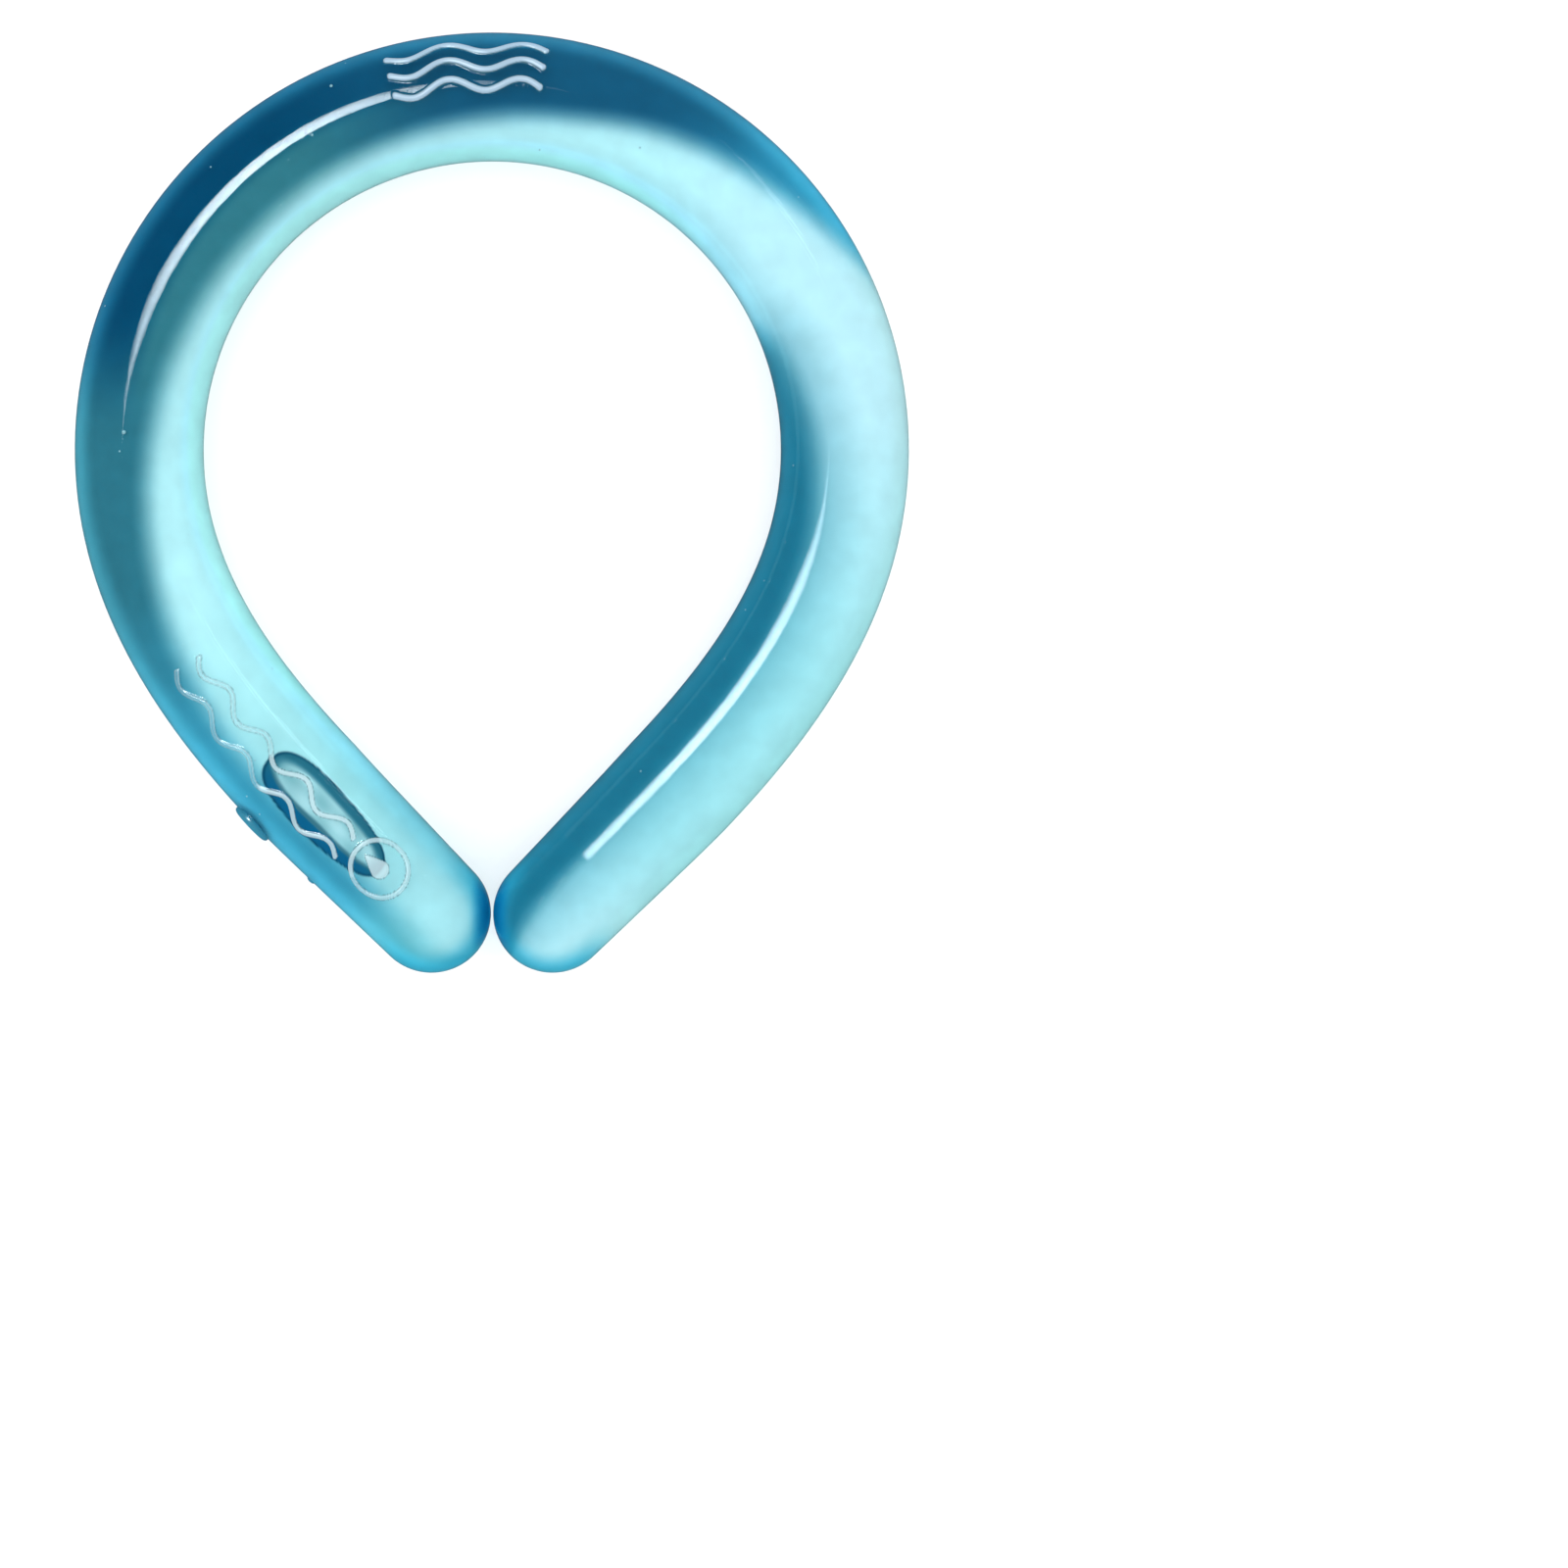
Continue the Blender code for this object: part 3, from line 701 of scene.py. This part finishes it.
def gel_material():
    """Gel whose colour holds painted light and shade: milky pale where lit and deep blue where shaded, with
    a faint mottle.
    """
    material, shader = new_material("cooling_gel")
    nodes, links = material.node_tree.nodes, material.node_tree.links
    # Gel colour that holds painted light and shade
    tone = add_attribute(material, GEL_SHADING_NAME)
    mottle = add_noise(material, 210.0, 5.0)
    level = nodes.new("ShaderNodeMapRange")
    level.inputs["From Min"].default_value = 0.3
    level.inputs["From Max"].default_value = 0.7
    level.inputs["To Min"].default_value = 0.95
    level.inputs["To Max"].default_value = 1.05
    links.new(mottle.outputs["Fac"], level.inputs["Value"])
    cloud = nodes.new("ShaderNodeVectorMath")
    cloud.operation = "SCALE"
    links.new(tone.outputs["Color"], cloud.inputs[0])
    links.new(level.outputs["Result"], cloud.inputs["Scale"])
    links.new(cloud.outputs["Vector"], shader.inputs["Base Color"])
    shader.inputs["Roughness"].default_value = 0.5
    shader.inputs["Specular IOR Level"].default_value = 0.0
    return material


def plug_material():
    """Glossy blue soft plastic with a faint grain."""
    material, shader = new_material("plug_plastic")
    grain = add_noise(material, 900.0)
    add_color_mix(material, grain, (0.022, 0.20, 0.31, 1.0), (0.032, 0.25, 0.37, 1.0),
                  shader.inputs["Base Color"])
    shader.inputs["Roughness"].default_value = 0.22
    add_bump(material, shader, grain, 0.15, 0.0001)
    return material


def speck_material():
    """Pale air in the clear wall."""
    material, shader = new_material("air_specks")
    cloud = add_noise(material, 1200.0)
    add_color_mix(material, cloud, (0.24, 0.50, 0.58, 1.0), (0.34, 0.60, 0.67, 1.0),
                  shader.inputs["Base Color"])
    shader.inputs["Roughness"].default_value = 0.4
    return material


# Meshes

def graded_lines(low, high, coarse, spans):
    """Rising grid lines from low to high, coarse but for the spans, each with its own step."""
    lines = [low]
    for span_low, span_high, step in sorted(spans) + [(high, high, coarse)]:
        for start, end, size in ((lines[-1], span_low, coarse), (span_low, span_high, step)):
            count = max(1, math.ceil((end - start) / size - COUNT_SLACK))
            if end - start > SHORTEST_STRETCH:
                lines += list(np.linspace(start, end, count + 1)[1:])
    return np.array(lines)


def station_lines(spans):
    """Grid lines from pole to pole, fine on the round ends and in the spans."""
    domes = [(-POLE_STATION, -TIP_STATION, DOME_STEP), (TIP_STATION, POLE_STATION, DOME_STEP)]
    return graded_lines(-POLE_STATION, POLE_STATION, COARSE_STATION, domes + spans)


def angle_lines(low, high):
    """Grid lines once round the tube, fine between the low angle and the high one."""
    span = (low, high, FINE_STEP / TUBE_RADIUS)
    return graded_lines(-math.pi, math.pi, COARSE_ANGLE, [span])[:-1]


def tube_mesh(name, points):
    """Closed mesh over a grid of points whose first and last rows have shrunk to poles."""
    rows, columns = points.shape[:2]
    first_pole = (rows - 2) * columns
    last_pole = first_pole + 1
    row = np.arange(rows - 3)[:, None] * columns
    column = np.arange(columns)[None, :]
    after = (column + 1) % columns
    quads = np.stack([row + column, row + after, row + columns + after, row + columns + column], axis=2)
    around = np.arange(columns)
    next_around = (around + 1) % columns
    last_row = (rows - 3) * columns
    start_fan = np.stack([np.full(columns, first_pole), next_around, around], axis=1)
    end_fan = np.stack([np.full(columns, last_pole), last_row + around, last_row + next_around], axis=1)
    mesh = bpy.data.meshes.new(name)
    faces = quads.reshape(-1, 4).tolist() + start_fan.tolist() + end_fan.tolist()
    mesh.from_pydata(point_rows(points).tolist(), [], faces)
    mesh.shade_smooth()
    return mesh


def point_rows(values):
    """Values over the grid in the order of the mesh's points, poles last."""
    values = values.reshape(values.shape[0], values.shape[1], -1)
    return np.concatenate([values[1:-1].reshape(-1, values.shape[2]), values[:1, 0], values[-1:, 0]])


def paint(mesh, name, colors):
    """Writes the colours over the grid as a named attribute of the mesh's points."""
    layer = mesh.color_attributes.new(name, "FLOAT_COLOR", "POINT")
    layer.data.foreach_set("color", point_rows(colors).astype(np.float32).ravel())


def turned_mesh(name, profile, sides):
    """Closed solid turned about Z from pairs of radius and height, both ends on the axis."""
    verts = [(0.0, 0.0, profile[0][1])]
    for radius, height in profile[1:-1]:
        for side in range(sides):
            turn = 2 * math.pi * side / sides
            verts.append((radius * math.cos(turn), radius * math.sin(turn), height))
    verts.append((0.0, 0.0, profile[-1][1]))
    faces = []
    rings = len(profile) - 2
    for side in range(sides):
        after = (side + 1) % sides
        faces.append((0, 1 + side, 1 + after))
        for ring in range(rings - 1):
            low, high = 1 + ring * sides, 1 + (ring + 1) * sides
            faces.append((low + side, high + side, high + after, low + after))
        last = 1 + (rings - 1) * sides
        faces.append((last + side, len(verts) - 1, last + after))
    mesh = bpy.data.meshes.new(name)
    mesh.from_pydata(verts, [], faces)
    mesh.shade_smooth()
    return mesh


def seat_on_tube(mesh, station, angle):
    """Moves a mesh turned about Z onto the tube's surface."""
    point, normal, along = surface_frame(station, angle)
    place = Matrix((along, normal.cross(along), normal)).transposed().to_4x4()
    place.translation = point
    mesh.transform(place)


# Pieces

def add_piece(name, mesh, material, slot, *replaced):
    """A piece that rides on the ring, with its material, and stands for the named nodes."""
    piece = bpy.data.objects.new(name, mesh)
    bpy.context.scene.collection.objects.link(piece)
    mesh.materials.append(material)
    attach(piece, "root")
    if replaced:
        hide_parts(*replaced)


def mark_spans():
    """Stretches of the tube that bear marks."""
    crown_half = CROWN_WAVE["span"] / 2 + CROWN_WAVE["half_width"] * 2
    limb_end = TIP_STATION - BADGE_FROM_TIP + BADGE_RADIUS + LIMB_WAVE["half_width"] * 2
    limb_start = TIP_STATION - LIMB_WAVE_FROM_TIP - LIMB_WAVE["span"] - LIMB_WAVE["half_width"] * 2
    return [(CROWN_MARK_STATION - crown_half, CROWN_MARK_STATION + crown_half, FINE_STEP),
            (limb_start, limb_end, FINE_STEP)]


def build_shell(material):
    """The clear tube's outer surface with its raised marks."""
    nearest, farthest = DULL_SPAN_FROM_TIP
    dull_span = (nearest - TIP_STATION, farthest - TIP_STATION, FINE_STEP)
    stations = station_lines([dull_span] + mark_spans())
    angles = angle_lines(MARK_GIRTHS[0] / TUBE_RADIUS, MARK_GIRTHS[1] / TUBE_RADIUS)
    rise = raised_marks(stations[:, None], angles[None, :] * TUBE_RADIUS)
    mesh = tube_mesh("tube_skin", tube_points(stations, angles, 0.0, rise))
    # Frost colour with painted shade on the strokes' edges and a painted highlight over the bubble and badge
    paint(mesh, FROST_NAME, mark_frost_and_painted_light(stations, angles, rise))
    dullness = near_tips(stations, DULL_FROM_TIP, DULL_FADE) + 0 * rise
    dull = mesh.attributes.new(DULL_NAME, "FLOAT", "POINT")
    dull.data.foreach_set("value", point_rows(dullness).astype(np.float32).ravel())
    add_piece("tube_skin", mesh, material, "soft_shell", "tube_shell")


def build_gel(material):
    """The gel core with the air bubble's hollow."""
    middle = TIP_STATION - BUBBLE_FROM_TIP
    half_length = BUBBLE_HALF_LENGTH * BUBBLE_SPAN_ALONG
    stations = station_lines([(middle - half_length, middle + half_length, FINE_STEP)])
    reach = BUBBLE_HALF_WIDTH * BUBBLE_SPAN_ACROSS / TUBE_RADIUS
    offset = BUBBLE_GIRTH / TUBE_RADIUS
    angles = angle_lines(offset - reach, offset + reach)
    rise = -bubble_hollow(stations[:, None], angles[None, :] * TUBE_RADIUS)
    mesh = tube_mesh("gel_core", tube_points(stations, angles, GEL_INSET, rise))
    # Paints the gel's light and shade into its colour
    paint(mesh, GEL_SHADING_NAME, gel_tone_and_painted_light(stations, angles))
    add_piece("gel_core", mesh, material, "cooling_gel", "cooling_gel")


def build_plug(material):
    """Disc with a shallow dish, on a short stem."""
    profile = [(radius, PLUG_PROUD - depth) for radius, depth in PLUG_FACE] + PLUG_STEM
    mesh = turned_mesh("plug_cap", profile, PLUG_SIDES)
    seat_on_tube(mesh, TIP_STATION - PLUG_FROM_TIP, math.pi / 2)
    add_piece("plug_cap", mesh, material, "plug", "fill_plug")


def build_nub(material):
    """Low dome."""
    leans = [math.pi / 2 * step / NUB_STEPS for step in range(NUB_STEPS + 1)]
    profile = [(NUB_RADIUS * math.sin(lean), NUB_PROUD * math.cos(lean)) for lean in leans]
    profile += [(NUB_RADIUS, -NUB_DEPTH), (0.0, -NUB_DEPTH)]
    mesh = turned_mesh("moulding_nub", profile, NUB_SIDES)
    seat_on_tube(mesh, TIP_STATION - NUB_FROM_TIP, NUB_ANGLE)
    add_piece("moulding_nub", mesh, material, "plug")


def build_specks(material):
    """Tiny air bells in the wall, all in one piece."""
    chance = random.Random(SPECK_SEED)
    ranges = (SPECK_STATIONS, SPECK_DEGREES, SPECK_RADII)
    rows = SPECK_ROWS + [[chance.uniform(*limits) for limits in ranges] for _ in range(SPECK_COUNT)]
    bells = bmesh.new()
    for station, degrees, radius in rows:
        point, _, _ = surface_frame(station, math.radians(degrees), SPECK_INSET)
        made = bmesh.ops.create_icosphere(bells, subdivisions=2, radius=radius)
        bmesh.ops.translate(bells, verts=made["verts"], vec=point)
    mesh = bpy.data.meshes.new("air_specks")
    bells.to_mesh(mesh)
    bells.free()
    mesh.shade_smooth()
    add_piece("air_specks", mesh, material, "soft_shell")


# Studio

def build_floor():
    """Pale paper under the ring, left out of the gloss."""
    mesh = bpy.data.meshes.new("studio_floor")
    side = FLOOR_HALF_SIDE
    corners = [(-side, -side, 0), (side, -side, 0), (side, side, 0), (-side, side, 0)]
    mesh.from_pydata(corners, [], [(0, 1, 2, 3)])
    floor = bpy.data.objects.new("studio_floor", mesh)
    bpy.context.scene.collection.objects.link(floor)
    material, shader = new_material("floor_paper")
    shader.inputs["Base Color"].default_value = (0.86, 0.86, 0.86, 1.0)
    shader.inputs["Roughness"].default_value = 0.9
    mesh.materials.append(material)
    floor.visible_glossy = False
    return floor


def build_camera():
    """Camera that looks straight down and frames the ring as the photograph does."""
    scene = bpy.context.scene
    data = bpy.data.cameras.new("photo_camera")
    data.lens = LENS_MM
    data.sensor_width = SENSOR_MM
    camera = bpy.data.objects.new("photo_camera", data)
    scene.collection.objects.link(camera)
    middle_x = (PHOTO_SIZE / 2 - PHOTO_AXIS_X) / PHOTO_PIXELS_PER_METRE
    middle_y = CROWN_Y - (PHOTO_SIZE / 2 - PHOTO_CROWN_Y) / PHOTO_PIXELS_PER_METRE
    frame_width = PHOTO_SIZE / PHOTO_PIXELS_PER_METRE
    distance = frame_width * LENS_MM / SENSOR_MM
    camera.location = (middle_x, middle_y, AXIS_HEIGHT + distance)
    scene.camera = camera


def add_lamp(name, place, tangent, width, radiance):
    """Oval lamp that shows only as a gleam on the ring."""
    data = bpy.data.lights.new(name, "AREA")
    data.shape = "ELLIPSE"
    data.size = LAMP_LENGTH
    data.size_y = width
    data.color = LAMP_COLOR
    data.energy = radiance * math.pi * math.pi * LAMP_LENGTH * width / 4
    light = bpy.data.objects.new(name, data)
    bpy.context.scene.collection.objects.link(light)
    away = (Vector(place) - Vector((0, 0, AXIS_HEIGHT))).normalized()
    across = away.cross(Vector(tangent)).normalized()
    turned = Matrix((across.cross(away), across, away)).transposed().to_4x4()
    turned.translation = place
    light.matrix_world = turned
    light.visible_diffuse = False
    light.visible_transmission = False


def build_lamp_row(name, rows):
    """Lamps in even turns along a path given by a few rows."""
    table = np.array(sorted(rows))
    count = round((table[-1, 0] - table[0, 0]) / LAMP_TURN_STEP) + 1
    for index, degrees in enumerate(np.linspace(table[0, 0], table[-1, 0], count)):
        lean, width, radiance = [np.interp(degrees, table[:, 0], column) for column in table.T[1:]]
        turn = math.radians(degrees)
        reach = LAMP_HEIGHT * math.tan(math.radians(lean))
        place = (reach * math.sin(turn), ARC_CENTRE_Y + reach * math.cos(turn), AXIS_HEIGHT + LAMP_HEIGHT)
        add_lamp(f"{name}_{index + 1}", place, (math.cos(turn), -math.sin(turn), 0.0), width, radiance)


def build_floor_lamp(floor):
    """Even light on the floor alone, which the ring doesn't shade."""
    group = bpy.data.collections.new("floor_only")
    group.objects.link(floor)
    data = bpy.data.lights.new("floor_lamp", "SUN")
    data.energy = FLOOR_SUN
    data.angle = math.radians(FLOOR_SUN_DEGREES)
    light = bpy.data.objects.new("floor_lamp", data)
    bpy.context.scene.collection.objects.link(light)
    light.location = (0, 0, FLOOR_SUN_HEIGHT)
    light.light_linking.receiver_collection = group
    light.light_linking.blocker_collection = group


def build_world():
    """White studio whose mirror image in gloss is dim."""
    world = bpy.data.worlds.new("studio")
    bpy.context.scene.world = world
    world.use_nodes = True
    nodes, links = world.node_tree.nodes, world.node_tree.links
    world.cycles.sampling_method = "NONE"
    background = nodes["Background"]
    background.inputs["Color"].default_value = (1.0, 1.0, 1.0, 1.0)
    path = nodes.new("ShaderNodeLightPath")
    level = nodes.new("ShaderNodeMapRange")
    level.inputs["To Min"].default_value = WORLD_LEVEL
    level.inputs["To Max"].default_value = WORLD_GLOSS_LEVEL
    mirrored = nodes.new("ShaderNodeMath")
    mirrored.operation = "SUBTRACT"
    mirrored.use_clamp = True
    links.new(path.outputs["Is Glossy Ray"], mirrored.inputs[0])
    links.new(path.outputs["Is Transmission Ray"], mirrored.inputs[1])
    links.new(mirrored.outputs["Value"], level.inputs["Value"])
    links.new(level.outputs["Result"], background.inputs["Strength"])


def main():
    bpy.context.scene.view_settings.view_transform = "Standard"
    build_camera()
    build_floor_lamp(build_floor())
    build_world()
    build_lamp_row("long_row", LONG_ROW)
    build_lamp_row("faint_row", FAINT_ROW)
    build_shell(clear_shell_material())
    build_gel(gel_material())
    plug_finish = plug_material()
    build_plug(plug_finish)
    build_nub(plug_finish)
    build_specks(speck_material())


main()
